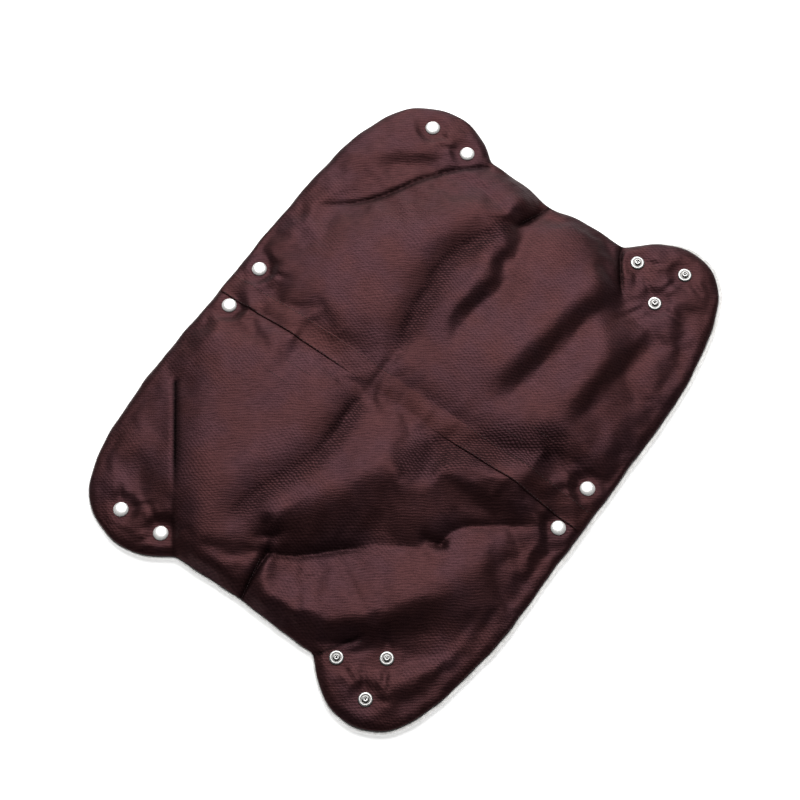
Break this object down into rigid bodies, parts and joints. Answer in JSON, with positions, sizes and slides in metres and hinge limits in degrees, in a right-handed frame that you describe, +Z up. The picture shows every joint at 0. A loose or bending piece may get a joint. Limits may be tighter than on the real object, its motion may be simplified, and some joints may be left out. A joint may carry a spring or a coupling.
{
  "type": "hand warmer muff",
  "caption": "Padded hand muff lying open: a water-repellent shell on a plush lining, with four round ears and press snaps that close it round a pushchair handlebar.",
  "frame": {"origin": "centre of the face that the open muff lies on", "axes": "+X along the handlebar, across the cuffs; +Y towards the edge with the snap caps; +Z up, out of the shell"},
  "size_m": [0.5096, 0.376, 0.0244],
  "materials": {
    "shell_fabric": "ribbed water-repellent polyester with a slight sheen",
    "band_fabric": "the shell's polyester, as a lapped strip",
    "wadding": "bonded polyester wadding",
    "lining_plush": "short-pile white plush",
    "interfacing": "non-woven felt",
    "snap_metal": "bright nickel plate",
    "spring_wire": "drawn wire"
  },
  "bodies": {
    "stud_side": {"shell_stud_side": "shell_fabric", "wadding_stud_side": "wadding", "lining_stud_side": "lining_plush", "centre_band_stud_side": "band_fabric", "snap_patch_stud_side": "interfacing", "stud_side_snap_1_cap": "snap_metal", "stud_side_snap_1_stud": "snap_metal", "stud_side_snap_2_cap": "snap_metal", "stud_side_snap_2_stud": "snap_metal"},
    "cap_side": {"shell_cap_side": "shell_fabric", "wadding_cap_side": "wadding", "lining_cap_side": "lining_plush", "centre_band_cap_side": "band_fabric", "snap_patch_cap_side": "interfacing", "cap_side_snap_1_cap": "snap_metal", "cap_side_snap_1_socket": "snap_metal", "cap_side_snap_1_spring": "spring_wire", "cap_side_snap_2_cap": "snap_metal", "cap_side_snap_2_socket": "snap_metal", "cap_side_snap_2_spring": "spring_wire"},
    "cap_ear_left": {"shell_cap_ear_left": "shell_fabric", "wadding_cap_ear_left": "wadding", "lining_cap_ear_left": "lining_plush", "snap_patch_cap_ear_left": "interfacing", "cap_ear_left_snap_1_cap": "snap_metal", "cap_ear_left_snap_1_socket": "snap_metal", "cap_ear_left_snap_1_spring": "spring_wire", "cap_ear_left_snap_2_cap": "snap_metal", "cap_ear_left_snap_2_socket": "snap_metal", "cap_ear_left_snap_2_spring": "spring_wire"},
    "cap_ear_right": {"shell_cap_ear_right": "shell_fabric", "wadding_cap_ear_right": "wadding", "lining_cap_ear_right": "lining_plush", "snap_patch_cap_ear_right": "interfacing", "cap_ear_right_snap_1_cap": "snap_metal", "cap_ear_right_snap_1_socket": "snap_metal", "cap_ear_right_snap_1_spring": "spring_wire", "cap_ear_right_snap_2_cap": "snap_metal", "cap_ear_right_snap_2_socket": "snap_metal", "cap_ear_right_snap_2_spring": "spring_wire"},
    "stud_ear_left": {"shell_stud_ear_left": "shell_fabric", "wadding_stud_ear_left": "wadding", "lining_stud_ear_left": "lining_plush", "snap_patch_stud_ear_left": "interfacing", "stud_ear_left_snap_1_stud": "snap_metal", "stud_ear_left_snap_1_eyelet": "snap_metal", "stud_ear_left_snap_2_stud": "snap_metal", "stud_ear_left_snap_2_eyelet": "snap_metal", "stud_ear_left_snap_3_stud": "snap_metal", "stud_ear_left_snap_3_eyelet": "snap_metal"},
    "stud_ear_right": {"shell_stud_ear_right": "shell_fabric", "wadding_stud_ear_right": "wadding", "lining_stud_ear_right": "lining_plush", "snap_patch_stud_ear_right": "interfacing", "stud_ear_right_snap_1_stud": "snap_metal", "stud_ear_right_snap_1_eyelet": "snap_metal", "stud_ear_right_snap_2_stud": "snap_metal", "stud_ear_right_snap_2_eyelet": "snap_metal", "stud_ear_right_snap_3_stud": "snap_metal", "stud_ear_right_snap_3_eyelet": "snap_metal"}
  },
  "joints": [
    {"name": "main_fold", "type": "hinge", "parent": "stud_side", "child": "cap_side", "pos_m": [0, 0, 0], "axis": [-1, 0, 0], "range_deg": [0, 120]},
    {"name": "cap_ear_left_fold", "type": "hinge", "parent": "cap_side", "child": "cap_ear_left", "pos_m": [-0.221, 0.0695, 0], "axis": [-0.7716, -0.6361, 0], "range_deg": [0, 60]},
    {"name": "stud_ear_left_fold", "type": "hinge", "parent": "stud_side", "child": "stud_ear_left", "pos_m": [-0.221, -0.0695, 0], "axis": [0.7716, -0.6361, 0], "range_deg": [0, 60]},
    {"name": "cap_ear_right_fold", "type": "hinge", "parent": "cap_side", "child": "cap_ear_right", "pos_m": [0.221, 0.0695, 0], "axis": [-0.7716, 0.6361, 0], "range_deg": [0, 60]},
    {"name": "stud_ear_right_fold", "type": "hinge", "parent": "stud_side", "child": "stud_ear_right", "pos_m": [0.221, -0.0695, 0], "axis": [0.7716, 0.6361, 0], "range_deg": [0, 60]}
  ]
}
